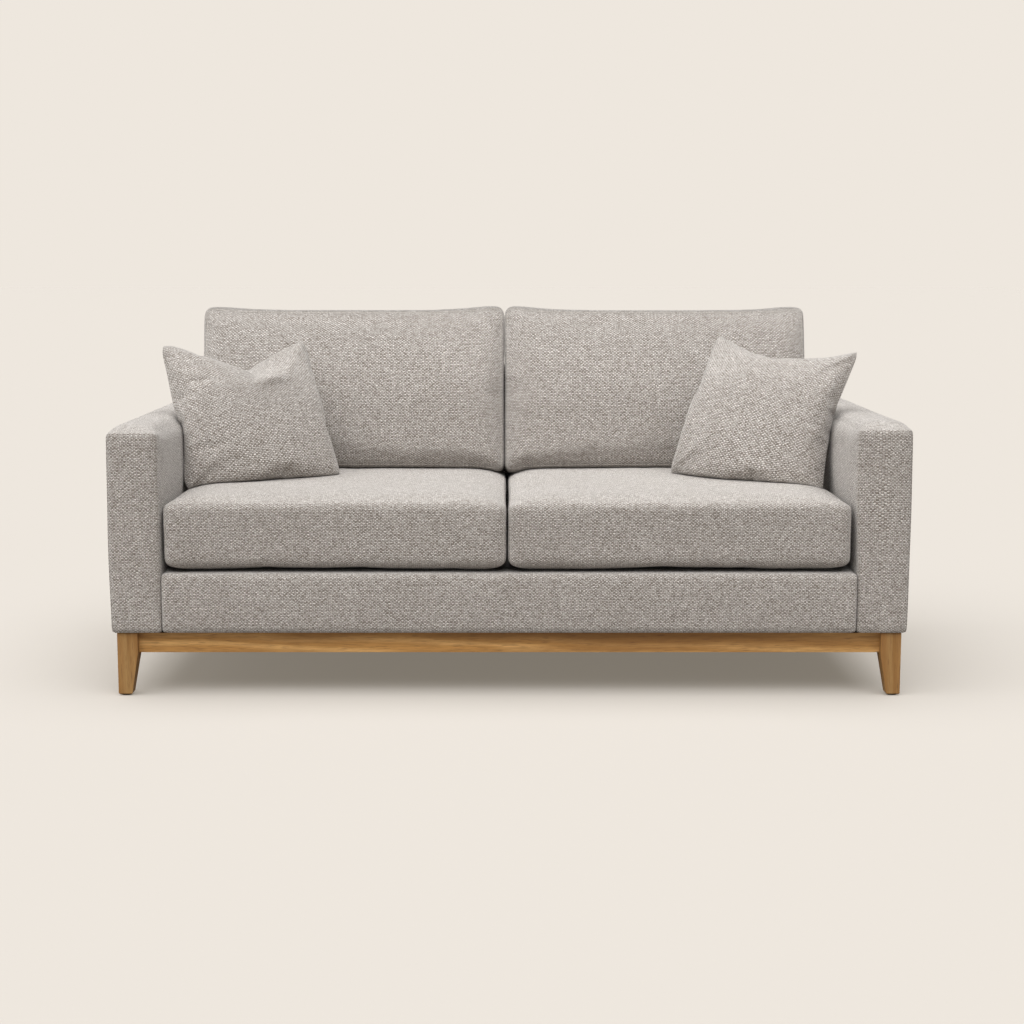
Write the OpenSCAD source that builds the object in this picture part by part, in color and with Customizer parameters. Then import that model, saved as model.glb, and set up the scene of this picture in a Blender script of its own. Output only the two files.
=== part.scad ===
// Two-seat sofa on an oak plinth: loose seat, back and scatter cushions on a timber frame.
// Millimetres. +Z is up, the front faces -Y, and the origin is on the floor under the middle.

/* [Body] */
// Width over the outsides of the arms
body_w = 1960; // [1700:10:2200]
// Depth from the arm fronts to the outside back
body_d = 950; // [900:10:1050]
// Height of the arm tops
arm_h = 652; // [600:2:700]
// Thickness of one arm
arm_w = 125; // [120:1:150]
// Height of the upholstered back frame
back_h = 770; // [740:5:800]
// Depth of the back frame at the seat deck
back_foot = 210; // [200:5:220]
// Lean of the inside back from the vertical, in degrees
back_lean = 12; // [10:0.5:13]
// Height of the seat deck under the loose cushions
deck_h = 308; // [296:2:330]

/* [Oak base] */
// Height of the upholstery's underside
base_h = 158; // [150:1:180]
// Side of a leg at its top
leg_top = 50; // [46:1:54]
// Side of a leg at its foot
leg_foot = 34; // [28:1:40]
// Distance from an arm's outer side to a leg's outer side
leg_inset = 12; // [8:1:16]
// Distance from the arm fronts to the front legs' faces
leg_setback = 10; // [6:1:14]
// Height of the plinth rails
plinth_h = 52; // [44:1:56]
// Thickness of the plinth rails
plinth_t = 20; // [18:1:22]
// Distance from a leg's outer face to the plinth rail's face
plinth_setback = 18; // [16:1:20]

/* [Cushions] */
// Thickness of a seat cushion
seat_t = 186; // [150:2:200]
// Thickness of a back cushion
back_cushion_t = 190; // [170:5:200]
// Height of a back cushion above the seat cushion
back_cushion_h = 440; // [400:2:450]
// How much narrower a cushion is than half the space between the arms
cushion_play = 17; // [16:1:25]
// How far the seat cushions lie to the left of the middle
seat_shift = 5; // [0:1:8]
// How far the back cushions stand to the left of the middle
back_shift = 12; // [0:1:13]
// Side of a filled scatter cushion
scatter_size = 408; // [380:2:420]
// Thickness of a scatter cushion at its middle
scatter_t = 115; // [90:5:130]

/* [Upholstery] */
// Thickness of the woven cover
cover_t = 2; // [1.5:0.5:2.5]
// Radius of the arms' top edges
arm_r = 14; // [8:1:20]
// Number of springs under each seat
springs_per_seat = 6; // [5:1:6]

/* [Hidden] */
$fn = 48;

WEAVE = [0.71, 0.68, 0.65];
OAK = [0.62, 0.45, 0.26];
PINE = [0.84, 0.72, 0.52];
FOAM = [0.93, 0.90, 0.78];
WADDING = [0.95, 0.95, 0.94];
STEEL = [0.55, 0.56, 0.58];
BLACK = [0.08, 0.08, 0.08];

LEFT = -1;
RIGHT = 1;
FRONT = -1;
REAR = 1;

slack = 0.4;                        // gap between nested soft layers
half_w = body_w / 2;
half_d = body_d / 2;
arm_in = half_w - arm_w;            // inner face of an arm
inner_w = arm_in - cover_t;         // half width of the seat and back frames
frame_z = base_h + 2;               // underside of the timber frame

// Pads between timber and cover
pad_front = 18;
pad_inner = 23;
pad_outer = 5;
pad_back = 20;

// Timber
rail_t = 32;
rail_top = deck_h - 23;
post_d = 60;
top_rail_t = 25;
bottom_rail_h = 45;
post_x0 = arm_in + cover_t + pad_inner;
post_x1 = half_w - cover_t - pad_outer;
post_front_y = -half_d + cover_t + pad_front;
post_rear_y = half_d - cover_t - pad_outer;
post_top = arm_h - cover_t - pad_inner - top_rail_t;
rear_rail_y = back_face_y(deck_h) + cover_t + pad_back - rail_t;
board_t = 4;
board_y = half_d - cover_t - 4 - board_t;
back_rail_h = 30;
back_rail_z = back_h - cover_t - pad_inner - back_rail_h;
inner_post_x = (inner_w - rail_t) / 3;
tuck_rail_z = deck_h + 12;
tuck_rail_h = 45;

// Fixings
bolt_r = 4;
bolt_fit = 0.2;                     // radial clearance of a bolt or dowel in its hole
bolt_down = 60;
bolt_up = 47;
dowel_r = 4;
dowel_in_leg = 15;
dowel_in_rail = 25;
dowel_z = [base_h - 38, base_h - 14];
frame_bolt_z = [frame_z + 60, frame_z + 105];
frame_bolt_end = post_x0 + 50;
frame_bolt_head_r = 8;
frame_bolt_head_t = 6;
front_bolt_y = post_front_y + post_d - 14;
rear_bolt_y = post_rear_y - post_d + 16;

// Legs: the outer corner of each leg is at (leg_x, leg_y)
leg_x = half_w - leg_inset;
leg_y = half_d - leg_setback;
glide_t = 3;
glide_r = 12;
plinth_z = base_h - plinth_h;
foot_chamfer = 3;

// Springs
wire_w = 3.4;                       // square section, as strong as 3.8 mm round wire
spring_z = rail_top + 3.5;
spring_amp = 25;
spring_turns = 24;
spring_y0 = post_front_y + 15;
spring_y1 = rear_rail_y + rail_t / 2;
spring_pitch = (spring_y1 - spring_y0) / spring_turns;
spring_bar = spring_amp - spring_pitch / 2;
spring_gap = (inner_w - 1.5 * rail_t) / springs_per_seat;
clip_t = 1.5;
clip_w = 18;

// Webbing on the back frame
web_w = 50;
web_t = 1.5;
web_h = (back_h - deck_h - 45) / cos(back_lean);
web_gap = (inner_w - rail_t) / 4;

// Cushions
cushion_w = arm_in - cushion_play;
cushion_gap = 4;                    // between the two cushions of a pair
seat_y0 = -half_d + 5;
seat_y1 = back_face_y(deck_h) - 7;
seat_z0 = deck_h + 1;
seat_z1 = seat_z0 + seat_t;
seat_r = 35;
back_z0 = seat_z1 + 1;
back_z1 = back_z0 + back_cushion_h;
back_gap = 5;                       // room behind a back cushion for its zip
back_r = 40;
zip_length = 0.74 * cushion_w;
zip_w = 6;
zip_t = 2;
scatter_yaw = 28;
scatter_lean = 31;
scatter_x = arm_in - 178;
scatter_y = -40;
scatter_rim = 14;
scatter_z = seat_z1 + 0.5 + scatter_size / 2 * cos(scatter_lean) + scatter_rim / 2 * sin(scatter_lean);

// Surface of the inside back at height z
function back_face_y(z) = half_d - back_foot + (z - deck_h) * tan(back_lean);

// Front of the back frame's timber at height z
function back_timber_y(z) = back_face_y(z) + cover_t + pad_back;

// Points along an arc about [y, z] from angle a0 to angle a1
function arc(y, z, r, a0, a1, steps = 6) =
    [for (i = [0:steps]) let (a = a0 + (a1 - a0) * i / steps) [y + r * cos(a), z + r * sin(a)]];

// Centre of the rounding along the back frame's top front edge
back_edge_r = 30;
back_edge = [back_face_y(back_h - back_edge_r) + back_edge_r / cos(back_lean), back_h - back_edge_r];

// ---- Shared shapes ----

module block(x, y, z) {
    translate([x[0], y[0], z[0]])
        cube([x[1] - x[0], y[1] - y[0], z[1] - z[0]]);
}

// Extrudes an outline drawn in [y, z] from x0 to x1
module along_x(x0, x1) {
    translate([x0, 0, 0])
        rotate([90, 0, 90])
            linear_extrude(x1 - x0)
                children();
}

// Extrudes an outline drawn in [x, z] from y0 to y1
module along_y(y0, y1) {
    translate([0, y1, 0])
        rotate([90, 0, 0])
            linear_extrude(y1 - y0)
                children();
}

// The right-hand part, or its mirror image on the left
module on_side(side) {
    mirror([side == LEFT ? 1 : 0, 0, 0])
        children();
}

module on_end(end) {
    mirror([0, end == FRONT ? 1 : 0, 0])
        children();
}

module x_hole(x0, x1, y, z, r) {
    translate([x0, y, z])
        rotate([0, 90, 0])
            cylinder(r = r, h = x1 - x0);
}

module y_hole(y0, y1, x, z, r) {
    translate([x, y1, z])
        rotate([90, 0, 0])
            cylinder(r = r, h = y1 - y0);
}

module z_hole(z0, z1, x, y, r) {
    translate([x, y, z0])
        cylinder(r = r, h = z1 - z0);
}

module leg_bolt_holes(z0, z1) {
    for (y = [-leg_y + leg_top / 2, leg_y - leg_top / 2])
        z_hole(z0, z1, leg_x - leg_top / 2, y, bolt_r + bolt_fit);
}

module frame_bolt_holes(x0, x1) {
    for (y = [front_bolt_y, rear_bolt_y])
        for (z = frame_bolt_z)
            x_hole(x0, x1, y, z, bolt_r + bolt_fit);
}

// ---- Oak base ----

// Leg outline: plumb outer face, straight top block, inner face tapering to the foot
module leg_outline() {
    polygon([
        [foot_chamfer, glide_t], [leg_foot - foot_chamfer, glide_t],
        [leg_foot, glide_t + foot_chamfer], [leg_top, plinth_z],
        [leg_top, base_h], [0, base_h], [0, glide_t + foot_chamfer]
    ]);
}

// Right rear leg, with the bolt hole in its top and the dowel holes in its inner faces
module plain_leg() {
    difference() {
        translate([leg_x, leg_y, 0])
            intersection() {
                mirror([1, 0, 0]) along_y(-leg_top, 0) leg_outline();
                mirror([0, 1, 0]) along_x(-leg_top, 0) leg_outline();
            }
        z_hole(base_h - bolt_down - 2, base_h + 1, leg_x - leg_top / 2, leg_y - leg_top / 2, bolt_r + bolt_fit);
        for (z = dowel_z) {
            x_hole(leg_x - leg_top - 1, leg_x - leg_top + dowel_in_leg + 1,
                   leg_y - plinth_setback - plinth_t / 2, z, dowel_r + bolt_fit);
            y_hole(leg_y - leg_top - 1, leg_y - leg_top + dowel_in_leg + 1,
                   leg_x - plinth_setback - plinth_t / 2, z, dowel_r + bolt_fit);
        }
    }
}

module leg(side, end) {
    color(OAK) on_side(side) on_end(end) plain_leg();
}

module leg_glides() {
    color(BLACK)
        for (side = [LEFT, RIGHT], end = [FRONT, REAR])
            translate([side * (leg_x - leg_foot / 2), end * (leg_y - leg_foot / 2), 0])
                cylinder(r = glide_r, h = glide_t);
}

module leg_bolts() {
    color(STEEL)
        for (side = [LEFT, RIGHT], end = [FRONT, REAR])
            translate([side * (leg_x - leg_top / 2), end * (leg_y - leg_top / 2), base_h - bolt_down])
                cylinder(r = bolt_r, h = bolt_down + bolt_up);
}

module plinth_cross_rail(end) {
    x_end = leg_x - leg_top;
    y_mid = leg_y - plinth_setback - plinth_t / 2;
    color(OAK)
        on_end(end)
            difference() {
                block([-x_end, x_end], [y_mid - plinth_t / 2, y_mid + plinth_t / 2], [plinth_z, base_h]);
                for (z = dowel_z, side = [LEFT, RIGHT])
                    x_hole(side * x_end - dowel_in_rail - 1, side * x_end + dowel_in_rail + 1,
                           y_mid, z, dowel_r + bolt_fit);
            }
}

module plinth_side_rail(side) {
    y_end = leg_y - leg_top;
    x_mid = leg_x - plinth_setback - plinth_t / 2;
    color(OAK)
        on_side(side)
            difference() {
                block([x_mid - plinth_t / 2, x_mid + plinth_t / 2], [-y_end, y_end], [plinth_z, base_h]);
                for (z = dowel_z, end = [FRONT, REAR])
                    y_hole(end * y_end - dowel_in_rail - 1, end * y_end + dowel_in_rail + 1,
                           x_mid, z, dowel_r + bolt_fit);
            }
}

module plinth_dowels() {
    x_end = leg_x - leg_top;
    y_end = leg_y - leg_top;
    mid = plinth_setback + plinth_t / 2;
    color(PINE)
        for (side = [LEFT, RIGHT], end = [FRONT, REAR])
            on_side(side) on_end(end)
                for (z = dowel_z) {
                    x_hole(x_end - dowel_in_rail, x_end + dowel_in_leg, leg_y - mid, z, dowel_r);
                    y_hole(y_end - dowel_in_rail, y_end + dowel_in_leg, leg_x - mid, z, dowel_r);
                }
}

module dust_cover() {
    color(BLACK)
        difference() {
            block([-post_x1, post_x1], [post_front_y - pad_front / 2, post_rear_y], [base_h, frame_z]);
            for (side = [LEFT, RIGHT])
                on_side(side) leg_bolt_holes(base_h - 1, frame_z + 1);
        }
}

// ---- Timber seat frame ----

module seat_front_rail() {
    color(PINE)
        block([-arm_in, arm_in], [post_front_y, post_front_y + rail_t], [frame_z, rail_top]);
}

module seat_rear_rail() {
    color(PINE)
        block([-inner_w, inner_w], [rear_rail_y, rear_rail_y + rail_t], [frame_z, rail_top]);
}

module seat_end_rail(side) {
    color(PINE)
        on_side(side)
            difference() {
                block([inner_w - rail_t, arm_in], [post_front_y + rail_t, rear_rail_y], [frame_z, rail_top]);
                frame_bolt_holes(inner_w - rail_t - 1, arm_in + 1);
            }
}

module seat_centre_rail() {
    color(PINE)
        block([-rail_t / 2, rail_t / 2], [post_front_y + rail_t, rear_rail_y], [frame_z, rail_top - 15]);
}

// Glued blocks in the corners of both seat wells, below the bolts
module corner_blocks() {
    leg = 60;
    wells = [[rail_t / 2, 1], [inner_w - rail_t, -1]];
    ends = [[post_front_y + rail_t, 1], [rear_rail_y, -1]];
    color(PINE)
        for (side = [LEFT, RIGHT], well = wells, end = ends)
            on_side(side)
                translate([well[0], end[0], frame_z])
                    linear_extrude(45)
                        polygon([[0, 0], [well[1] * leg, 0], [0, end[1] * leg]]);
}

module frame_bolts() {
    color(STEEL)
        for (side = [LEFT, RIGHT])
            on_side(side)
                for (y = [front_bolt_y, rear_bolt_y], z = frame_bolt_z) {
                    x_hole(inner_w - rail_t - 1, frame_bolt_end, y, z, bolt_r);
                    x_hole(inner_w - rail_t - 1 - frame_bolt_head_t, inner_w - rail_t - 1, y, z,
                           frame_bolt_head_r);
                }
}

// ---- Timber arms ----

module arm_posts(side) {
    color(PINE)
        on_side(side)
            difference() {
                union() {
                    block([post_x0, post_x1], [post_front_y, post_front_y + post_d], [frame_z, post_top]);
                    block([post_x0, post_x1], [post_rear_y - post_d, post_rear_y], [frame_z, post_top]);
                }
                leg_bolt_holes(frame_z - 1, base_h + bolt_up + 1);
                frame_bolt_holes(post_x0 - 1, frame_bolt_end + 1);
            }
}

module arm_rails(side) {
    mid_rail_z = (frame_z + post_top) / 2;
    y_ends = [post_front_y + post_d, post_rear_y - post_d];
    color(PINE)
        on_side(side) {
            block([post_x0, post_x1], [post_front_y, post_rear_y], [post_top, post_top + top_rail_t]);
            block([post_x0, post_x1], y_ends, [frame_z, frame_z + bottom_rail_h]);
            block([post_x0, post_x0 + rail_t], y_ends, [mid_rail_z, mid_rail_z + bottom_rail_h]);
        }
}

// ---- Timber back ----

module back_posts() {
    outline = [
        [back_timber_y(deck_h), frame_z], [board_y, frame_z], [board_y, back_rail_z],
        [back_timber_y(back_rail_z), back_rail_z], [back_timber_y(deck_h), deck_h]
    ];
    color(PINE)
        for (side = [LEFT, RIGHT])
            on_side(side) {
                difference() {
                    along_x(inner_w - rail_t, inner_w) polygon(outline);
                    frame_bolt_holes(inner_w - rail_t - 1, inner_w + 1);
                }
                along_x(inner_post_x - rail_t / 2, inner_post_x + rail_t / 2) polygon(outline);
            }
}

module back_top_rail() {
    z1 = back_rail_z + back_rail_h;
    color(PINE)
        along_x(-inner_w, inner_w)
            polygon([
                [back_timber_y(back_rail_z), back_rail_z], [board_y, back_rail_z],
                [board_y, z1], [back_timber_y(z1), z1]
            ]);
}

module back_tuck_rail() {
    z1 = tuck_rail_z + tuck_rail_h;
    outline = [
        [back_timber_y(tuck_rail_z), tuck_rail_z], [back_timber_y(tuck_rail_z) + rail_t, tuck_rail_z],
        [back_timber_y(z1) + rail_t, z1], [back_timber_y(z1), z1]
    ];
    color(PINE) {
        along_x(-inner_post_x + rail_t / 2, inner_post_x - rail_t / 2) polygon(outline);
        for (side = [LEFT, RIGHT])
            on_side(side)
                along_x(inner_post_x + rail_t / 2, inner_w - rail_t) polygon(outline);
    }
}

module back_board() {
    color([0.55, 0.43, 0.31])
        block([-inner_w, inner_w], [board_y, board_y + board_t], [frame_z, back_rail_z + back_rail_h]);
}

module back_webbing() {
    color([0.80, 0.76, 0.66])
        translate([0, back_timber_y(deck_h), deck_h])
            rotate([-back_lean, 0, 0]) {
                for (side = [LEFT, RIGHT], i = [0:3])
                    translate([side * (i + 0.5) * web_gap, 0, 0])
                        block([-web_w / 2, web_w / 2], [-web_t, 0], [20, web_h]);
                for (row = [1:3])
                    translate([0, 0, web_h * row / 4])
                        block([10 - inner_w, inner_w - 10], [-2 * web_t, -web_t], [-web_w / 2, web_w / 2]);
            }
}

// ---- Suspension ----

// One edge of a sinuous spring's wire: straight bars across X joined by half turns
function spring_edge(offset, steps = 6) = concat(
    [[-spring_bar, spring_y0 + offset]],
    [
        for (k = [0:spring_turns - 1], i = [0:steps])
            let (turn = k % 2 == 0 ? 1 : -1, a = -90 + turn * 180 * i / steps)
            [turn * spring_bar, spring_y0 + (k + 0.5) * spring_pitch]
                + (spring_pitch / 2 - turn * offset) * [cos(a), sin(a)]
    ],
    [[spring_bar, spring_y1 + offset]]
);

module sinuous_spring() {
    near = spring_edge(-wire_w / 2);
    far = spring_edge(wire_w / 2);
    translate([0, 0, spring_z - wire_w / 2])
        linear_extrude(wire_w)
            polygon(concat(near, [for (i = [1:len(far)]) far[len(far) - i]]));
}

module at_springs(side) {
    for (i = [0:springs_per_seat - 1])
        translate([side * (rail_t / 2 + (i + 0.5) * spring_gap), 0, 0])
            children();
}

module seat_springs(side) {
    color(STEEL)
        at_springs(side) sinuous_spring();
}

// C-shaped clip that holds a spring's end bar on a rail
module spring_clip(end) {
    z0 = rail_top;
    z1 = spring_z + wire_w / 2 + 0.2 + clip_t;
    y = end == FRONT ? spring_y0 : spring_y1;
    translate([0, y, 0])
        on_end(end == FRONT ? REAR : FRONT)
            along_x(-clip_w / 2, clip_w / 2)
                polygon([
                    [-7, z0], [4, z0], [4, z0 + clip_t], [-7 + clip_t, z0 + clip_t],
                    [-7 + clip_t, z1 - clip_t], [4, z1 - clip_t], [4, z1], [-7, z1]
                ]);
}

module spring_clips() {
    color(STEEL)
        for (side = [LEFT, RIGHT], end = [FRONT, REAR])
            at_springs(side) spring_clip(end);
}

module deck_felt() {
    color(WADDING)
        block([-inner_w, inner_w], [post_front_y + rail_t, back_face_y(deck_h) - 3],
              [spring_z + 5, deck_h - cover_t - slack]);
}

module deck_lining() {
    color([0.62, 0.60, 0.58])
        block([-inner_w, inner_w], [-half_d + 90, back_face_y(deck_h) - 3], [deck_h - cover_t, deck_h]);
}

// ---- Pads and covers ----

// Arm outline, set in by a distance all round except along its underside
module arm_outline(inset, z0) {
    w = arm_w - 2 * inset;
    h = arm_h - inset - z0;
    r = arm_r - inset;
    translate([arm_in + inset, z0]) {
        square([w, h - r]);
        translate([r, 0]) square([w - 2 * r, h]);
        for (x = [r, w - r])
            translate([x, h - r]) circle(r = r);
    }
}

module arm_pad(side) {
    inset = cover_t + slack;
    color(FOAM)
        on_side(side)
            difference() {
                along_y(-half_d + inset, half_d - inset) arm_outline(inset, frame_z);
                block([post_x0, post_x1], [post_front_y, post_rear_y], [frame_z - 1, post_top + top_rail_t]);
                frame_bolt_holes(arm_in - 1, post_x0 + 1);
            }
}

// Sleeve over the arm, closed at the back and open below and at the front; the dust
// cover passes under its inner side
module arm_cover(side) {
    color(WEAVE)
        on_side(side)
            difference() {
                along_y(-half_d + cover_t, half_d) arm_outline(0, base_h);
                along_y(-half_d, half_d - cover_t) arm_outline(cover_t, base_h - 1);
                block([arm_in - 1, arm_in + cover_t + 1], [-half_d, half_d - cover_t], [base_h - 1, frame_z]);
                frame_bolt_holes(arm_in - 1, arm_in + cover_t + 1);
            }
}

module arm_front_panel(side) {
    color(WEAVE)
        on_side(side)
            along_y(-half_d, -half_d + cover_t) arm_outline(0, base_h);
}

module front_rail_pad() {
    y0 = -half_d + cover_t + slack;
    z1 = deck_h - cover_t - slack;
    r = 6;
    color(FOAM)
        along_x(-inner_w, inner_w)
            polygon(concat(
                [[y0, frame_z]],
                arc(y0 + r, z1 - r, r, 180, 90),
                [
                    [post_front_y + rail_t - slack, z1], [post_front_y + rail_t - slack, rail_top + 8],
                    [post_front_y, rail_top + 8], [post_front_y, frame_z]
                ]
            ));
}

module front_rail_cover() {
    y0 = -half_d;
    y1 = -half_d + 90;
    r = 8;
    color(WEAVE)
        along_x(-arm_in, arm_in)
            polygon(concat(
                [[y0, base_h]],
                arc(y0 + r, deck_h - r, r, 180, 90),
                [[y1, deck_h], [y1, deck_h - cover_t]],
                arc(y0 + r, deck_h - r, r - cover_t, 90, 180),
                [[y0 + cover_t, base_h]]
            ));
}

module back_pad() {
    z0 = deck_h - 5;
    z1 = back_h - cover_t - slack;
    z_rail = back_rail_z + back_rail_h + slack;
    inset = cover_t + slack;
    web = 2 * web_t + 1;
    color(WADDING)
        along_x(-inner_w + slack, inner_w - slack)
            polygon(concat(
                [[back_face_y(z0) + inset + slack, z0]],
                arc(back_edge[0], back_edge[1], back_edge_r - inset - slack, 180 - back_lean, 90),
                [
                    [half_d - inset, back_h - inset - slack], [half_d - inset, z_rail],
                    [back_timber_y(z_rail) - web, z_rail], [back_timber_y(z0) - web, z0]
                ]
            ));
}

// Outline of the back frame's upholstered outside, above the deck
module back_outline(inset, z0) {
    polygon(concat(
        [[back_face_y(z0) + inset / cos(back_lean), z0]],
        arc(back_edge[0], back_edge[1], back_edge_r - inset, 180 - back_lean, 90),
        [[half_d - cover_t, back_h - inset], [half_d - cover_t, z0]]
    ));
}

// Inside back, top and the two ends, in one sewn piece
module back_inside_cover() {
    z0 = deck_h - 5;
    color(WEAVE)
        difference() {
            along_x(-arm_in, arm_in) back_outline(0, z0);
            along_x(-inner_w, inner_w) {
                back_outline(cover_t, z0 - 1);
                translate([half_d - cover_t - 1, z0 - 1]) square([2, back_h - cover_t - z0 + 1]);
            }
        }
}

module back_outside_cover() {
    color(WEAVE)
        block([-arm_in, arm_in], [half_d - cover_t, half_d], [base_h, back_h]);
}

// ---- Loose cushions ----

// Seat cushion outline: full round front edges, tighter rear edges
module seat_outline(inset) {
    rear_r = 18;
    y0 = seat_y0 + inset;
    y1 = seat_y1 - inset;
    z0 = seat_z0 + inset;
    z1 = seat_z1 - inset;
    r = seat_r - inset;
    rr = rear_r - inset;
    polygon(concat(
        arc(y0 + r, z1 - r, r, 180, 90, 8), arc(y1 - rr, z1 - rr, rr, 90, 0),
        arc(y1 - rr, z0 + rr, rr, 0, -90), arc(y0 + r, z0 + r, r, 270, 180, 8)
    ));
}

// Puts a shape drawn about X = 0 at its cushion's middle, in a pair moved left by a shift
module at_cushion(side, shift) {
    translate([side * (cushion_gap + cushion_w) / 2 - shift, 0, 0])
        children();
}

// Extrudes a cushion outline over the cushion's width, set in at both ends
module across_cushion(inset) {
    along_x(inset - cushion_w / 2, cushion_w / 2 - inset)
        children();
}

module seat_cushion_core(side) {
    inset = cover_t + slack;
    color(FOAM)
        at_cushion(side, seat_shift)
            across_cushion(inset) seat_outline(inset);
}

module seat_cushion_cover(side) {
    color(WEAVE)
        at_cushion(side, seat_shift)
            difference() {
                across_cushion(0) seat_outline(0);
                across_cushion(cover_t) seat_outline(cover_t);
            }
}

// Back cushion outline: flat foot on the seat cushion, leaning faces, round top
module back_cushion_outline(inset) {
    t = back_cushion_t / cos(back_lean);
    foot_r = 25;
    z0 = back_z0 + inset;
    z1 = back_z1 - inset;
    r = back_r - inset;
    rf = foot_r - inset;
    side_in = inset / cos(back_lean);
    rear = -back_gap - side_in;
    front = -back_gap - t + side_in;
    polygon(concat(
        arc(back_face_y(z1 - r) + front + r / cos(back_lean), z1 - r, r, 180 - back_lean, 90, 8),
        arc(back_face_y(z1 - r) + rear - r / cos(back_lean), z1 - r, r, 90, -back_lean, 8),
        arc(back_face_y(z0 + rf) + rear - rf / cos(back_lean), z0 + rf, rf, -back_lean, -90),
        arc(back_face_y(z0 + rf) + front + rf / cos(back_lean), z0 + rf, rf, 270, 180 - back_lean)
    ));
}

module back_cushion_fill(side) {
    inset = cover_t + slack;
    color(WADDING)
        at_cushion(side, back_shift)
            across_cushion(inset) back_cushion_outline(inset);
}

module back_cushion_cover(side) {
    color(WEAVE)
        at_cushion(side, back_shift)
            difference() {
                across_cushion(0) back_cushion_outline(0);
                across_cushion(cover_t) back_cushion_outline(cover_t);
            }
}

// Closed zip lying along X on a face that looks along +Y: tape, slider and pull
module cushion_zip(length) {
    slider_l = 11;
    pull_l = 24;
    block([-length / 2, length / 2], [0, zip_t / 2], [-zip_w, zip_w]);
    block([-length / 2, length / 2], [zip_t / 2, zip_t], [-zip_w / 2, zip_w / 2]);
    block([length / 2 - 20, length / 2 - 20 + slider_l], [zip_t, zip_t + 1.5], [-4, 4]);
    block([length / 2 - 20 - pull_l, length / 2 - 20], [zip_t + 0.3, zip_t + 1.3], [-3, 3]);
}

module seat_cushion_zip(side) {
    color(BLACK)
        at_cushion(side, seat_shift)
            translate([0, seat_y1, (seat_z0 + seat_z1) / 2])
                cushion_zip(zip_length);
}

module back_cushion_zip(side) {
    z = back_z0 + 60;
    color(BLACK)
        at_cushion(side, back_shift)
            translate([0, back_face_y(z) - back_gap, z])
                rotate([-back_lean, 0, 0])
                    cushion_zip(zip_length);
}

// Scatter cushion: full in the middle, thin along its four edges
module scatter_form(inset) {
    hull() {
        cube([scatter_size - 2 * inset, scatter_rim - 2 * inset, scatter_size - 2 * inset], center = true);
        cube([0.5 * scatter_size, scatter_t - 2 * inset, 0.5 * scatter_size], center = true);
    }
}

// The left cushion's place; its right edge is turned back towards the back cushion
module place_scatter(side) {
    on_side(-side)
        translate([-scatter_x, scatter_y, scatter_z])
            rotate([0, 0, scatter_yaw])
                rotate([-scatter_lean, 0, 0])
                    children();
}

module scatter_cushion_fill(side) {
    color(WADDING)
        place_scatter(side) scatter_form(cover_t + slack);
}

module scatter_cushion_cover(side) {
    color(WEAVE)
        place_scatter(side)
            difference() {
                scatter_form(0);
                scatter_form(cover_t);
            }
}

// ---- Nodes ----

leg(LEFT, FRONT);  // leg_front_left
leg(RIGHT, FRONT);  // leg_front_right
leg(LEFT, REAR);  // leg_rear_left
leg(RIGHT, REAR);  // leg_rear_right
leg_glides();
leg_bolts();
plinth_cross_rail(FRONT);  // plinth_front_rail
plinth_cross_rail(REAR);  // plinth_rear_rail
plinth_side_rail(LEFT);  // plinth_left_rail
plinth_side_rail(RIGHT);  // plinth_right_rail
plinth_dowels();
dust_cover();
seat_front_rail();
seat_rear_rail();
seat_end_rail(LEFT);  // seat_end_rail_left
seat_end_rail(RIGHT);  // seat_end_rail_right
seat_centre_rail();
corner_blocks();
frame_bolts();
arm_posts(LEFT);  // left_arm_posts
arm_rails(LEFT);  // left_arm_rails
arm_posts(RIGHT);  // right_arm_posts
arm_rails(RIGHT);  // right_arm_rails
back_posts();
back_top_rail();
back_tuck_rail();
back_board();
back_webbing();
seat_springs(LEFT);  // seat_springs_left
seat_springs(RIGHT);  // seat_springs_right
spring_clips();
deck_felt();
deck_lining();
arm_pad(LEFT);  // left_arm_pad
arm_pad(RIGHT);  // right_arm_pad
arm_cover(LEFT);  // left_arm_cover
arm_cover(RIGHT);  // right_arm_cover
arm_front_panel(LEFT);  // left_arm_front_panel
arm_front_panel(RIGHT);  // right_arm_front_panel
front_rail_pad();
front_rail_cover();
back_pad();
back_inside_cover();
back_outside_cover();
seat_cushion_core(LEFT);  // seat_cushion_left_core
seat_cushion_cover(LEFT);  // seat_cushion_left_cover
seat_cushion_zip(LEFT);  // seat_cushion_left_zip
seat_cushion_core(RIGHT);  // seat_cushion_right_core
seat_cushion_cover(RIGHT);  // seat_cushion_right_cover
seat_cushion_zip(RIGHT);  // seat_cushion_right_zip
back_cushion_fill(LEFT);  // back_cushion_left_fill
back_cushion_cover(LEFT);  // back_cushion_left_cover
back_cushion_zip(LEFT);  // back_cushion_left_zip
back_cushion_fill(RIGHT);  // back_cushion_right_fill
back_cushion_cover(RIGHT);  // back_cushion_right_cover
back_cushion_zip(RIGHT);  // back_cushion_right_zip
scatter_cushion_fill(LEFT);  // scatter_cushion_left_fill
scatter_cushion_cover(LEFT);  // scatter_cushion_left_cover
scatter_cushion_fill(RIGHT);  // scatter_cushion_right_fill
scatter_cushion_cover(RIGHT);  // scatter_cushion_right_cover
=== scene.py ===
import math

import bpy
from mathutils import Euler, Matrix, Vector, noise
from mathutils.bvhtree import BVHTree


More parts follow.
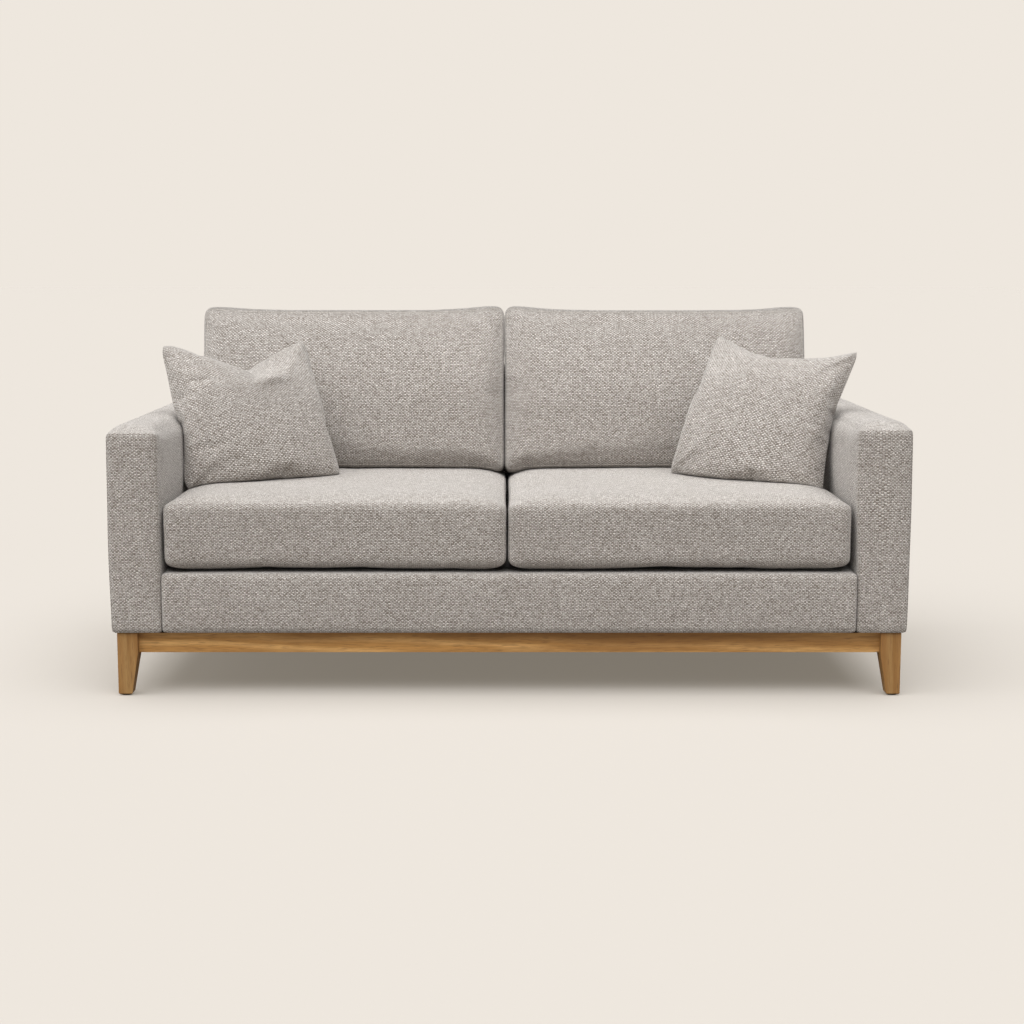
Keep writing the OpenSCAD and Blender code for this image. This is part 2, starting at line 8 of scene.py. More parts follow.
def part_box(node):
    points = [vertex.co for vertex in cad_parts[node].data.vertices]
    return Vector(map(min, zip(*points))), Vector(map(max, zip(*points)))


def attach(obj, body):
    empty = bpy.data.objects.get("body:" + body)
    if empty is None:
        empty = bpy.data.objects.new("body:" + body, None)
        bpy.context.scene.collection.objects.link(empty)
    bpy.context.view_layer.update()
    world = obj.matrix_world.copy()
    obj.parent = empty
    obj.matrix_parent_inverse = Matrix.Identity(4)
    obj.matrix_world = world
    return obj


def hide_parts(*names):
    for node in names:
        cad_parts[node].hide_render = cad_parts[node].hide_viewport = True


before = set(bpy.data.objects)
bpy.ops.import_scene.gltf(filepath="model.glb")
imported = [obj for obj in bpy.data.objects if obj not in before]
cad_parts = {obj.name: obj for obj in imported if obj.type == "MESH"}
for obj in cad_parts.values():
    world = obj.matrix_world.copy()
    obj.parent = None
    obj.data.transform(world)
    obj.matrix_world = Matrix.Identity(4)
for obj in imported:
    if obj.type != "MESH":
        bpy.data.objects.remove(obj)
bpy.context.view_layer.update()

SIDES = ("left", "right")
WEAVE_UV = "weave"          # UV map in metres of flat cloth, which carries the weave
LEAN = math.radians(12)     # tilt of the back cushions and the inside back
MM = 0.001
DEG = math.pi / 180
EDGE = 1e-6                 # how near a box's side a point counts as on it

scene = bpy.context.scene


# ---- Materials ----

class Shading:
    """A new material and short ways to add its nodes."""

    def __init__(self, name, roughness=0.9, **sockets):
        self.material = bpy.data.materials.new(name)
        self.material.use_nodes = True
        self.tree = self.material.node_tree
        self.shader = self.tree.nodes["Principled BSDF"]
        self.shader.inputs["Roughness"].default_value = roughness
        for socket, value in sockets.items():
            self.shader.inputs[socket.replace("_", " ")].default_value = value

    def add(self, kind, **settings):
        node = self.tree.nodes.new(kind)
        for key, value in settings.items():
            setattr(node, key, value)
        return node

    def link(self, output, socket):
        self.tree.links.new(output, socket)

    def feed(self, node, **values):
        """Sets or links a node's inputs; a socket's name has _ for its spaces."""
        for socket, value in values.items():
            self.put(value, node.inputs[socket.replace("_", " ")])

    def put(self, value, socket):
        if isinstance(value, bpy.types.NodeSocket):
            self.link(value, socket)
        else:
            socket.default_value = value

    def math(self, operation, *values):
        node = self.add("ShaderNodeMath", operation=operation)
        for socket, value in zip(node.inputs, values):
            self.put(value, socket)
        return node.outputs[0]

    def mix(self, factor, low, high):
        """Blends two colours, each a socket or three numbers."""
        node = self.add("ShaderNodeMix", data_type="RGBA")
        for socket, value in ((node.inputs[0], factor), (node.inputs[6], low), (node.inputs[7], high)):
            self.put((*value, 1) if isinstance(value, tuple) else value, socket)
        return node.outputs[2]

    def noise(self, vector, scale, detail=2.0, rough=0.5):
        node = self.add("ShaderNodeTexNoise")
        self.feed(node, Vector=vector, Scale=scale, Detail=detail, Roughness=rough)
        return node.outputs["Fac"]

    def stretch(self, vector, scale):
        node = self.add("ShaderNodeMapping")
        self.feed(node, Vector=vector, Scale=scale)
        return node.outputs["Vector"]

    def object_point(self):
        return self.add("ShaderNodeTexCoord").outputs["Object"]

    def spread(self, value, low, high, to_low=0.0, to_high=1.0):
        node = self.add("ShaderNodeMapRange")
        self.feed(node, Value=value, From_Min=low, From_Max=high, To_Min=to_low, To_Max=to_high)
        return node.outputs["Result"]

    def bump(self, height, distance):
        node = self.add("ShaderNodeBump")
        self.feed(node, Height=height, Distance=distance, Strength=1.0)
        self.link(node.outputs["Normal"], self.shader.inputs["Normal"])

    def colour(self, socket):
        self.link(socket, self.shader.inputs["Base Color"])


def woven(name, pitch, light, dark, gap, relief, sheen=0.3):
    """Plain weave of uneven yarns. pitch is the spacing of the yarns across and along; each
    crossing takes its own tone between dark and light, with the gap's colour between them as painted
    shade."""
    s = Shading(name, roughness=0.95, Sheen_Weight=sheen, Sheen_Roughness=0.5)
    uv = s.add("ShaderNodeUVMap", uv_map=WEAVE_UV).outputs["UV"]
    coarse = 0.11 / pitch[0]
    wobble = s.add("ShaderNodeTexNoise")
    s.feed(wobble, Vector=uv, Scale=coarse * 5, Detail=3.0, Roughness=0.75)
    drift = s.add("ShaderNodeVectorMath", operation="MULTIPLY_ADD")
    s.link(wobble.outputs["Color"], drift.inputs[0])
    drift.inputs[1].default_value = (2.2 * pitch[0], 1.6 * pitch[1], 0)
    s.link(uv, drift.inputs[2])
    split = s.add("ShaderNodeSeparateXYZ")
    s.link(drift.outputs[0], split.inputs[0])
    across = s.math("DIVIDE", split.outputs[0], pitch[0])
    along = s.math("DIVIDE", split.outputs[1], pitch[1])

    def yarn(side, run, shift):
        number = s.math("FLOOR", side)
        body = s.math("SINE", s.math("MULTIPLY", s.math("FRACT", side), math.pi))
        phase = s.math("MULTIPLY", s.math("ADD", s.math("ADD", run, number), shift), math.pi)
        over = s.math("MULTIPLY_ADD", s.math("COSINE", phase), 0.42, 0.58)
        return number, s.math("MULTIPLY", body, over)

    column, warp = yarn(across, along, -0.5)
    row, weft = yarn(along, across, 0.5)
    height = s.math("MAXIMUM", warp, weft)
    cell = s.add("ShaderNodeCombineXYZ")
    s.link(column, cell.inputs[0])
    s.link(row, cell.inputs[1])
    speckle = s.add("ShaderNodeTexWhiteNoise", noise_dimensions="3D")
    s.link(cell.outputs[0], speckle.inputs["Vector"])
    slub = s.noise(uv, coarse * 9, 2.0, 0.7)
    mottle = s.noise(uv, 7.0, 3.0)
    tone = s.math("MULTIPLY_ADD", s.math("GREATER_THAN", weft, warp), 0.41,
                  s.math("MULTIPLY", speckle.outputs["Value"], 0.35))
    tone = s.math("ADD", tone, s.math("MULTIPLY_ADD", slub, 0.20, s.math("MULTIPLY", mottle, 0.08)))
    yarns = s.mix(s.spread(tone, 0.16, 0.96), dark, light)
    # painted shade: the colour falls towards the gap's near-black where the weave is low, between the
    # yarns and on their flanks
    s.colour(s.mix(s.spread(height, 0.12, 0.74), gap, yarns))
    fuzz = s.noise(uv, 1500.0, 2.0)
    s.bump(s.math("MULTIPLY_ADD", fuzz, 0.2, s.math("MULTIPLY_ADD", tone, 0.25, height)), relief)
    return s.material


def along_grain(grain, share):
    """Scales for noise that is drawn out along one axis."""
    return tuple(share if axis == grain else 1.0 for axis in "XYZ")


def oak(name, grain, tone):
    """Oiled oak with its grain along one axis; tone scales its main colours, and a raised tone
    paints light onto oak that sits in shade.
    """
    s = Shading(name, roughness=0.5, Specular_IOR_Level=0.3)
    point = s.object_point()
    stretched = s.stretch(point, along_grain(grain, 0.07))
    rings = s.add("ShaderNodeTexWave", wave_type="BANDS", bands_direction="DIAGONAL")
    s.feed(rings, Vector=stretched, Scale=14.0, Distortion=9.0, Detail=3.0, Detail_Scale=1.6)
    fibre = s.noise(stretched, 260.0, 4.0, 0.65)
    broad = s.noise(stretched, 22.0, 2.0)
    pores = s.spread(s.noise(s.stretch(point, along_grain(grain, 0.045)), 620.0, 1.0), 0.60, 0.70)
    dull = tuple(tone * c for c in (0.370, 0.190, 0.056))
    bright = tuple(tone * c for c in (0.520, 0.300, 0.108))
    base = s.mix(s.spread(rings.outputs["Fac"], 0.1, 0.9), dull, bright)
    base = s.mix(s.spread(broad, 0.35, 0.68), base, (0.330, 0.160, 0.048))
    base = s.mix(s.math("MULTIPLY", s.spread(fibre, 0.42, 0.62), 0.35), base, (0.230, 0.105, 0.032))
    s.colour(s.mix(s.math("MULTIPLY", pores, 0.55), base, (0.150, 0.075, 0.030)))
    s.link(s.spread(fibre, 0.3, 0.7, 0.42, 0.60), s.shader.inputs["Roughness"])
    s.bump(s.math("SUBTRACT", s.math("MULTIPLY", fibre, 0.35), pores), 0.12 * MM)
    return s.material


def timber(name, light, dark, grain):
    """Rough-sawn softwood with its grain along one axis."""
    s = Shading(name, roughness=0.75)
    stretched = s.stretch(s.object_point(), along_grain(grain, 0.06))
    rings = s.add("ShaderNodeTexWave", wave_type="RINGS")
    s.feed(rings, Vector=stretched, Scale=18.0, Distortion=5.0, Detail=2.0)
    fibre = s.noise(stretched, 300.0, 3.0)
    s.colour(s.mix(s.math("MULTIPLY", rings.outputs["Fac"], s.spread(fibre, 0.3, 0.7)), light, dark))
    s.bump(fibre, 0.3 * MM)
    return s.material


def speckled(name, light, dark, scale, roughness, relief, **sockets):
    """Foam, fibre, board, plastic or metal: two tones of fine noise over a broad drift."""
    s = Shading(name, roughness=roughness, **sockets)
    point = s.object_point()
    fine = s.noise(point, scale, 3.0)
    broad = s.noise(point, scale / 12, 2.0)
    s.colour(s.mix(s.spread(s.math("ADD", fine, broad), 0.75, 1.25), light, dark))
    s.link(s.spread(fine, 0.3, 0.7, roughness - 0.06, min(1.0, roughness + 0.06)),
           s.shader.inputs["Roughness"])
    s.bump(fine, relief)
    return s.material


def zip_teeth(name):
    """Taupe zip: fine teeth across its length, on a woven tape."""
    s = Shading(name, roughness=0.5)
    point = s.object_point()
    teeth = s.add("ShaderNodeTexWave", wave_type="BANDS", bands_direction="X")
    s.feed(teeth, Vector=point, Scale=160.0)
    weave = s.noise(point, 900.0, 2.0)
    s.colour(s.mix(teeth.outputs["Fac"], (0.12, 0.10, 0.085), (0.26, 0.23, 0.20)))
    s.link(s.spread(weave, 0.3, 0.7, 0.35, 0.65), s.shader.inputs["Roughness"])
    s.bump(s.math("ADD", teeth.outputs["Fac"], weave), 0.3 * MM)
    return s.material


# the third colour of each weave is painted shade between its yarns
UPHOLSTERY = woven("greige_weave", (4.6 * MM, 3.85 * MM), (0.862, 0.818, 0.774), (0.232, 0.194, 0.158),
                   (0.070, 0.052, 0.039), 1.5 * MM, 0.35)
LINING = woven("lining_weave", (1.4 * MM, 1.4 * MM), (0.33, 0.31, 0.29), (0.22, 0.20, 0.18),
               (0.10, 0.09, 0.08), 0.3 * MM)
DUST_CLOTH = woven("dust_cloth_weave", (1.6 * MM, 1.6 * MM), (0.04, 0.04, 0.04), (0.02, 0.02, 0.02),
                   (0.008, 0.008, 0.008), 0.3 * MM, 0.0)
THREAD = speckled("sewing_thread", (0.58, 0.54, 0.49), (0.46, 0.42, 0.38), 2500.0, 0.7, 0.1 * MM)
# a dark cord laid in a seam's groove under its stitches: painted shade
PAINTED_SEAM_SHADE = speckled("seam_painted_shade", (0.22, 0.19, 0.165), (0.14, 0.12, 0.10), 2500.0, 0.9, 0.1 * MM)


# ---- Mesh helpers ----

def mesh_piece(name, points, faces, material, uvs=None):
    mesh = bpy.data.meshes.new(name)
    mesh.from_pydata([tuple(p) for p in points], [], faces)
    mesh.polygons.foreach_set("use_smooth", [True] * len(faces))
    if uvs:
        layer = mesh.uv_layers.new(name=WEAVE_UV)
        for loop, uv in zip(layer.data, uvs):
            loop.uv = uv
    mesh.materials.append(material)
    piece = bpy.data.objects.new(name, mesh)
    scene.collection.objects.link(piece)
    return piece


def box_lattice(size, cell):
    """Points, quads and seam rings over a box's six sides. A point is three fractions from 0 to
    1, a quad is (its four points, its side), and a ring is the points round one side."""
    counts = [max(2, round(s / cell)) for s in size]
    index, points, quads, rings = {}, [], [], {}

    def number(p):
        if p not in index:
            index[p] = len(points)
            points.append(tuple(c / n for c, n in zip(p, counts)))
        return index[p]

    for axis in range(3):
        a, b = (axis + 1) % 3, (axis + 2) % 3
        na, nb = counts[a], counts[b]
        for end in (0, 1):

            def at(i, j):
                p = [0, 0, 0]
                p[axis], p[a], p[b] = end * counts[axis], i, j
                return number(tuple(p))

            for i in range(na):
                for j in range(nb):
                    ring = [at(i, j), at(i + 1, j), at(i + 1, j + 1), at(i, j + 1)]
                    quads.append((ring if end else ring[::-1], (axis, end)))
            rings[axis, end] = ([at(i, 0) for i in range(na)] + [at(na, j) for j in range(nb)]
                                + [at(na - i, nb) for i in range(na)]
                                + [at(0, nb - j) for j in range(nb)])
    return points, quads, rings


def cloth_uv(fractions, side, size, shift):
    """Where a point lies on its panel's flat cloth, in metres."""
    a, b = {0: (1, 2), 1: (0, 2), 2: (0, 1)}[side[0]]
    return fractions[a] * size[a] + shift, fractions[b] * size[b] + 0.37 * shift


def soft_box(name, size, cell, shape, sides=None, shift=0.0):
    """A box of upholstery cloth, and its seam rings as point numbers. shape(point) takes a point
    of the box, centred on the origin, to its place; sides picks the panels, and shift slides
    the weave so that no two pieces look alike."""
    lattice, quads, rings = box_lattice(size, cell)
    quads = [q for q in quads if sides is None or q[1] in sides]
    used = sorted({i for ring, side in quads for i in ring})
    renumber = {old: new for new, old in enumerate(used)}
    places = [shape(Vector([(f - 0.5) * s for f, s in zip(lattice[i], size)])) for i in used]
    uvs = [cloth_uv(lattice[i], side, size, shift) for ring, side in quads for i in ring]
    faces = [[renumber[i] for i in ring] for ring, side in quads]
    piece = mesh_piece(name, places, faces, UPHOLSTERY, uvs)
    rings = {side: [renumber[i] for i in ring if i in renumber] for side, ring in rings.items()}
    return piece, rings


def rounded(p, size, radius):
    """Takes a point of a box centred on the origin onto the same box with rounded edges."""
    core = Vector([max(radius - s / 2, min(s / 2 - radius, c)) for c, s in zip(p, size)])
    away = p - core
    return core + away.normalized() * radius if away.length > 1e-9 else p.copy()


def ripple(p, amount, scale=5.0):
    """Broad unevenness of stuffed cloth, in metres."""
    return amount * noise.noise(Vector(p) * scale)


def subdivide(piece, levels=1):
    modifier = piece.modifiers.new("Subdivision", "SUBSURF")
    modifier.levels = levels
    modifier.render_levels = levels


def inflate(piece, pressure, cap, frames=20, rest=None, bending=0.6, tension=25, air=3.0):
    """Swells a closed cloth shape by simulation and keeps its shape; no point moves further
    than cap. rest gives the places that its cloth was cut to, if they differ."""
    start = [v.co.copy() for v in piece.data.vertices]
    cloth = piece.modifiers.new("Cloth", "CLOTH")
    settings = cloth.settings
    if rest:
        piece.shape_key_add(name="cut")
        piece.shape_key_add(name="start")
        cut, posed = piece.data.shape_keys.key_blocks
        for key, places in ((cut, rest), (posed, start)):
            for data, p in zip(key.data, places):
                data.co = p
        posed.value = 1.0
        settings.rest_shape_key = cut
    settings.quality = 7
    settings.mass = 0.25
    settings.air_damping = air
    settings.tension_stiffness = tension
    settings.compression_stiffness = tension / 2
    settings.shear_stiffness = 6
    settings.bending_stiffness = bending
    settings.use_pressure = True
    settings.uniform_pressure_force = pressure
    settings.effector_weights.gravity = 0
    cloth.collision_settings.use_collision = False
    cloth.point_cache.frame_start = 1
    cloth.point_cache.frame_end = frames
    for number in range(1, frames + 1):
        scene.frame_set(number)
    graph = bpy.context.evaluated_depsgraph_get()
    moved = [v.co.copy() for v in piece.evaluated_get(graph).data.vertices]
    piece.modifiers.remove(cloth)
    piece.shape_key_clear()
    scene.frame_set(1)
    for vertex, before, after in zip(piece.data.vertices, start, moved):
        step = after - before
        if step.length > cap:
            step *= cap / step.length
        vertex.co = before + step


def fit(piece, lo, hi, over):
    """Scales a shape to run from lo to hi, with over added at -x, +x, -y, +y, -z and +z, and
    then presses what is over flat at lo and hi, as against a neighbour."""
    points = [v.co for v in piece.data.vertices]
    for axis in range(3):
        low, high = min(p[axis] for p in points), max(p[axis] for p in points)
        start, end = lo[axis] - over[2 * axis], hi[axis] + over[2 * axis + 1]
        for p in points:
            value = start + (p[axis] - low) * (end - start) / (high - low)
            p[axis] = max(lo[axis], min(hi[axis], value))


def pinch(piece, ring, depth):
    """Draws a seam's points into the padding."""
    normals = [piece.data.vertices[i].normal.copy() for i in ring]
    for i, normal in zip(ring, normals):
        piece.data.vertices[i].co -= depth * normal


def seam_path(piece, ring, lift):
    """A fine closed path over the finished surface, along a ring of its points."""
    tree = tree_of(piece)
    corners = [piece.data.vertices[i].co for i in ring]
    path = []
    for a, b in zip(corners, corners[1:] + corners[:1]):
        for k in range(3):
            at, normal = tree.find_nearest(a.lerp(b, k / 3))[:2]
            path.append(at + lift * normal)
    return path


def place(piece, matrix):
    """Moves a finished shape to its place; the object itself stays at the origin."""
    piece.data.transform(matrix)
    piece.data.update()


def tree_of(piece):
    graph = bpy.context.evaluated_depsgraph_get()
    return BVHTree.FromObject(piece, graph)


def push_out(piece, tree, direction, gap, reach=0.25):
    """Moves the points that lie in a neighbour, or nearer than gap, out along direction."""
    away = Vector(direction)
    for vertex in piece.data.vertices:
        hit = tree.ray_cast(vertex.co + away * reach, -away, reach + gap)[0]
        if hit:
            vertex.co += away * max(0.0, (hit - vertex.co).dot(away) + gap)


ASKEW = Vector((0.31, 0.52, 0.79))    # a direction that no thread runs in


def tube(name, path, radius, material, sides=6, closed=False):
    """A thin round thread along a path."""
    points, faces = [], []
    count = len(path)
    for i, p in enumerate(path):
        ahead = path[(i + 1) % count] if closed or i + 1 < count else p
        behind = path[i - 1] if closed or i else p
        forward = (ahead - behind).normalized()
        side = forward.cross(ASKEW).normalized()
        up = forward.cross(side)
        for k in range(sides):
            a = 2 * math.pi * k / sides
            points.append(p + radius * (math.cos(a) * side + math.sin(a) * up))
    for i in range(count if closed else count - 1):
        j = (i + 1) % count
        for k in range(sides):
            m = (k + 1) % sides
            faces.append((i * sides + k, i * sides + m, j * sides + m, j * sides + k))
    if not closed:
        faces.append(tuple(range(sides))[::-1])
        faces.append(tuple(range((count - 1) * sides, count * sides)))
    return mesh_piece(name, points, faces, material)


def join(name, pieces):
    """Makes one piece of several."""
    points, faces = [], []
    for piece in pieces:
        base = len(points)
        points += [v.co.copy() for v in piece.data.vertices]
        faces += [tuple(base + i for i in f.vertices) for f in piece.data.polygons]
    joined = mesh_piece(name, points, faces, pieces[0].data.materials[0])
    for piece in pieces:
        bpy.data.objects.remove(piece)
    return joined


STITCH = 4.0 * MM           # length of a stitch
STITCH_PITCH = 6.5 * MM     # from one stitch to the next


def stitches(name, path):
    """A row of sewn stitches along a path of points on the cloth."""
    made, travelled, due = [], 0.0, 0.0
    for a, b in zip(path, path[1:]):
        span = (b - a).length
        while due <= travelled + span - STITCH and span > 0:
            p = a + (b - a) * max(0.0, (due - travelled) / span)
            q = p + (b - a) * (STITCH / span)
            middle = [p, p.lerp(q, 0.25), p.lerp(q, 0.75), q]
            made.append(tube("stitch", middle, 0.7 * MM, THREAD, 5))
            due += STITCH_PITCH
        travelled += span
    return join(name, made)


def smooth(value):
    """0 to 1 with no kink at either end."""
    value = max(0.0, min(1.0, value))
    return value * value * (3 - 2 * value)


def hump(value, half):
    """1 in the middle of a side, falling to 0 at its edges."""
    return max(0.0, 1 - (value / half) ** 2)


def cad_material(material, *names):
    for name in names:
        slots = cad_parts[name].data.materials
        slots.clear()
        slots.append(material)


def upholster(piece, body, fill, *nodes):
    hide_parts(*nodes)
    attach(piece, body)


def sew(name, piece, ring, body, lift=0.1 * MM, stitched=False):
    """Marks a seam of a finished piece: a fine thread, or stitches over a dark cord that paints the
    shade in the seam's groove.
    """
    path = seam_path(piece, ring, lift)
    if stitched:
        groove = seam_path(piece, ring, 0)
        # the dark cord along the groove is painted shade, under the stitches
        made = [stitches(name, path), tube(f"{name}_painted_shade", groove, 0.75 * MM, PAINTED_SEAM_SHADE, closed=True)]
    else:
        made = [tube(name, path, 0.6 * MM, THREAD, closed=True)]
    for thread in made:
        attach(thread, body)


# ---- Loose seat cushions ----

SEAT_CROWN = 9 * MM         # how much lower a cushion's top is at its ends


def seat_cushion(side, shift):
    """A boxed cushion: cut smaller than its space, swelled, and fitted back into it."""
    lo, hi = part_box(f"seat_cushion_{side}_cover")
    size, centre = hi - lo, (lo + hi) / 2
    cut = size - Vector((10 * MM, 14 * MM, 22 * MM))

    def shape(p):
        uneven = Vector((0, 0, ripple(p + centre, 2.5 * MM)))
        return rounded(p, cut, (18 if p.z > 0 else 22) * MM) + uneven

    piece, rings = soft_box(f"seat_cushion_{side}", cut, 14 * MM, shape, shift=shift)
    inflate(piece, 4.5, 14 * MM)
    lo, hi = -size / 2, size / 2
    lo.y -= 4 * MM
    hi.z += 5 * MM
    lo.x, hi.x = (lo.x - 4 * MM, hi.x) if side == "left" else (lo.x, hi.x + 4 * MM)
    fit(piece, lo, hi, (2 * MM, 2 * MM, 0, 2 * MM, 3 * MM, 0))
    for vertex in piece.data.vertices:
        p = vertex.co
        inboard = min(1.0, (size.x / 2 - abs(p.x)) / (130 * MM))
        p.z -= max(0.0, p.z / hi.z) ** 3 * SEAT_CROWN * (1 - inboard) ** 2
    for end in (0, 1):
        pinch(piece, rings[0, end], 1 * MM)
    place(piece, Matrix.Translation(centre))
    subdivide(piece)
    body = f"seat_cushion_{side}"
    upholster(piece, body, 0.85, f"{body}_cover", f"{body}_core")
    for end, word in enumerate(SIDES):
        sew(f"{body}_seam_{word}", piece, rings[0, end], body)
    return piece


# ---- Loose back cushions ----

RECEDE = 70 * MM            # how far a cushion's front falls back towards its top
FOOT_Z = 0.493              # lowest that it reaches behind the seat cushion


def back_cushion(side, shift, seat):
    """A leaning boxed cushion, shaped upright and then tilted onto the seat cushion."""
    lo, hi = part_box(f"back_cushion_{side}_cover")
    tall = hi.z - lo.z
    deep = (hi.y - lo.y - tall * math.tan(LEAN)) * math.cos(LEAN)
    size = Vector((hi.x - lo.x, deep, tall / math.cos(LEAN)))
    centre = (lo + hi) / 2
    cut = size - Vector((12 * MM, 26 * MM, 8 * MM))

    def shape(p):
        return rounded(p, cut, 26 * MM) + Vector((0, ripple(p + centre, 4 * MM, 4.0), 0))

    piece, rings = soft_box(f"back_cushion_{side}", cut, 14 * MM, shape, shift=shift)
    inflate(piece, 4.5, 20 * MM)
    lo, hi = -size / 2, size / 2
    lo.z -= 22 * MM
    hi.z += 6 * MM
    inner, outer = 1.8 * MM, (6 if side == "left" else 3) * MM
    lo.x, hi.x = (lo.x - outer, hi.x + inner) if side == "left" else (lo.x - inner, hi.x + outer)
    fit(piece, lo, hi, (3 * MM, 3 * MM, 0, 5 * MM, 0, 0))
    for vertex in piece.data.vertices:
        p = vertex.co
        front = max(0.0, p.y / lo.y)
        p.y += front * RECEDE * max(0.0, (p.z + 60 * MM) / (290 * MM)) ** 1.6
    for end in (0, 1):
        pinch(piece, rings[1, end], 1 * MM)
    place(piece, Matrix.Translation(centre) @ Matrix.Rotation(-LEAN, 4, "X"))
    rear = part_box(f"seat_cushion_{side}_cover")[1].y
    for vertex in piece.data.vertices:
        if vertex.co.y > rear - 25 * MM:
            vertex.co.z = max(vertex.co.z, FOOT_Z)
    push_out(piece, tree_of(seat), (0, 0, 1), 1 * MM, reach=0.08)
    subdivide(piece)
    body = f"back_cushion_{side}"
    upholster(piece, body, 0.7, f"{body}_cover", f"{body}_fill")
    for end, word in enumerate(("front", "rear")):
        sew(f"{body}_seam_{word}", piece, rings[1, end], body)
    return piece


seats = {side: seat_cushion(side, 0.21 * i) for i, side in enumerate(SIDES)}
backs = {side: back_cushion(side, 0.5 + 0.23 * i, seats[side]) for i, side in enumerate(SIDES)}


# ---- Arms ----

def arm(side, shift, rise, widen):
    """An arm padded over its frame behind a flat front panel. rise lifts its whole top, and
    widen brings its inner face towards the seat."""
    lo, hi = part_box(f"{side}_arm_cover")
    lo.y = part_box(f"{side}_arm_front_panel")[0].y
    size, centre = hi - lo, (lo + hi) / 2
    half = size / 2
    inward = 1 if side == "left" else -1

    def shape(p):
        behind = smooth((p.y + half.y) / (75 * MM))
        inner = p.x * inward > 0
        upper = smooth(p.z / (0.5 * half.z))
        q = rounded(p, size, (6 + (34 if inner else 10) * behind * upper) * MM)
        across, upright = hump(p.x, half.x), hump(p.z, half.z)
        q.z += upper * (rise + behind * (7 + 9 * across ** 0.6) * MM) * (p.z > 0)
        if abs(abs(p.x) - half.x) < EDGE:
            puff = 11 * MM if inner else 4 * MM
            q.x += math.copysign(puff * behind * upright ** 0.6 * (0.35 + 0.65 * upper), p.x)
        if inner:
            q.x += widen * inward * smooth(0.5 + p.z / half.z)
        else:
            q.x -= (2 + 2 * upright) * MM * inward
        if p.y < EDGE - half.y:
            q.y -= 3 * MM * across * upright
        q += Vector((ripple(q + centre, 1.5 * MM), 0, ripple(q + centre, 1.2 * MM) * (p.z > 0)))
        return Vector((q.x, min(q.y, half.y), max(q.z, -half.z))) + centre

    piece, rings = soft_box(f"{side}_arm", size, 12 * MM, shape, shift=shift)
    pinch(piece, rings[1, 0], 1 * MM)
    subdivide(piece)
    upholster(piece, "frame", 0.9, f"{side}_arm_cover", f"{side}_arm_pad", f"{side}_arm_front_panel")
    sew(f"{side}_arm_front_stitches", piece, rings[1, 0], "frame", 0.2 * MM, stitched=True)
    return piece


arms = {"left": arm("left", 1.1, 2 * MM, 0), "right": arm("right", 1.5, 10.5 * MM, 8 * MM)}


# ---- Front rail and back ----

def front_rail():
    """The padded rail under the seat cushions, square where it meets the arms."""
    lo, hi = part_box("front_rail_cover")
    size, centre = hi - lo, (lo + hi) / 2

    def shape(p):
        q = rounded(p, size, 9 * MM)
        if p.y < EDGE - size.y / 2:
            q.y += ripple(p, 1.5 * MM, 7.0) - 2.5 * MM * hump(p.z, size.z / 2)
        if abs(p.x) > size.x / 2 - EDGE:
            q.x = math.copysign(size.x / 2, p.x)
        return q + centre

    piece = soft_box("front_rail", size, 12 * MM, shape, shift=2.1)[0]
    subdivide(piece)
    upholster(piece, "frame", 0.95, "front_rail_cover", "front_rail_pad")


def back_inside():
    """The padded sleeve over the front, the ends and the top of the back frame."""
    lo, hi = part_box("back_inside_cover")
    size, centre = hi - lo, (lo + hi) / 2

    def shape(p):
        q = rounded(p, size, 14 * MM)
        share = (size.y / 2 - q.y) / size.y
        q.y = size.y / 2 - share * (size.y - (q.z + size.z / 2) * math.tan(LEAN))
        q += Vector((0, ripple(p, 1.5 * MM), ripple(p, 1.5 * MM)))
        if p.z > size.z / 2 - EDGE:
            q.z += 3 * MM * hump(p.y, size.y / 2)
        q.y = min(q.y, size.y / 2)
        return q + centre

    shown = {(0, 0), (0, 1), (1, 0), (2, 1)}
    inside = soft_box("back_inside", size, 14 * MM, shape, sides=shown, shift=2.6)[0]
    subdivide(inside)
    upholster(inside, "frame", 0.9, "back_inside_cover", "back_pad")


def back_outside():
    """One panel over the rear of the back, with its edges turned over the board's."""
    lo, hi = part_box("back_outside_cover")
    lo.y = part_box("back_board")[0].y
    size, centre = hi - lo, (lo + hi) / 2

    def shape(p):
        q = rounded(p, size, 2 * MM)
        if p.y > size.y / 2 - EDGE:
            bulge = (hump(p.x, size.x / 2) * hump(p.z, size.z / 2)) ** 0.5
            q.y += 2 * MM * bulge + ripple(p, 1 * MM, 3.0)
        return centre + q

    shown = {(1, 1), (0, 0), (0, 1), (2, 0), (2, 1)}
    panel, rings = soft_box("back_outside", size, 16 * MM, shape, sides=shown, shift=3.2)
    subdivide(panel)
    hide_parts("back_outside_cover")
    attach(panel, "frame")
    sew("back_outside_stitches", panel, rings[1, 1], "frame", 0.3 * MM, stitched=True)


front_rail()
back_inside()
back_outside()


# ---- Scatter cushions ----

CUT = 0.430                 # finished side of the cloth panels, before stuffing
CELLS = 42                  # along that side
CUT_RISE = 0.0002           # how far a panel's middle stands out as cut, which tells the two apart
START_RISE = 0.03           # and how far at the start of the simulation
RIM_CREASE = 0.7            # how much of the seam's edge the subdivision keeps
FACET = 58 * MM             # how far the flat slope beside the notch stands out at its foot
RIDGE, VALLEY = 10 * MM, 12 * MM
FOLD, FOLD_WIDTH = 11 * MM, 9 * MM
EAR_START = 1.86            # |x| + |z| over half the side, past which a corner counts as an ear
EAR_BLUNT = 0.24            # share of what lies past there that is drawn in


def bell(value, middle, width):
    """1 in the middle, falling smoothly off to both sides."""
    return math.exp(-((value - middle) / width) ** 2)


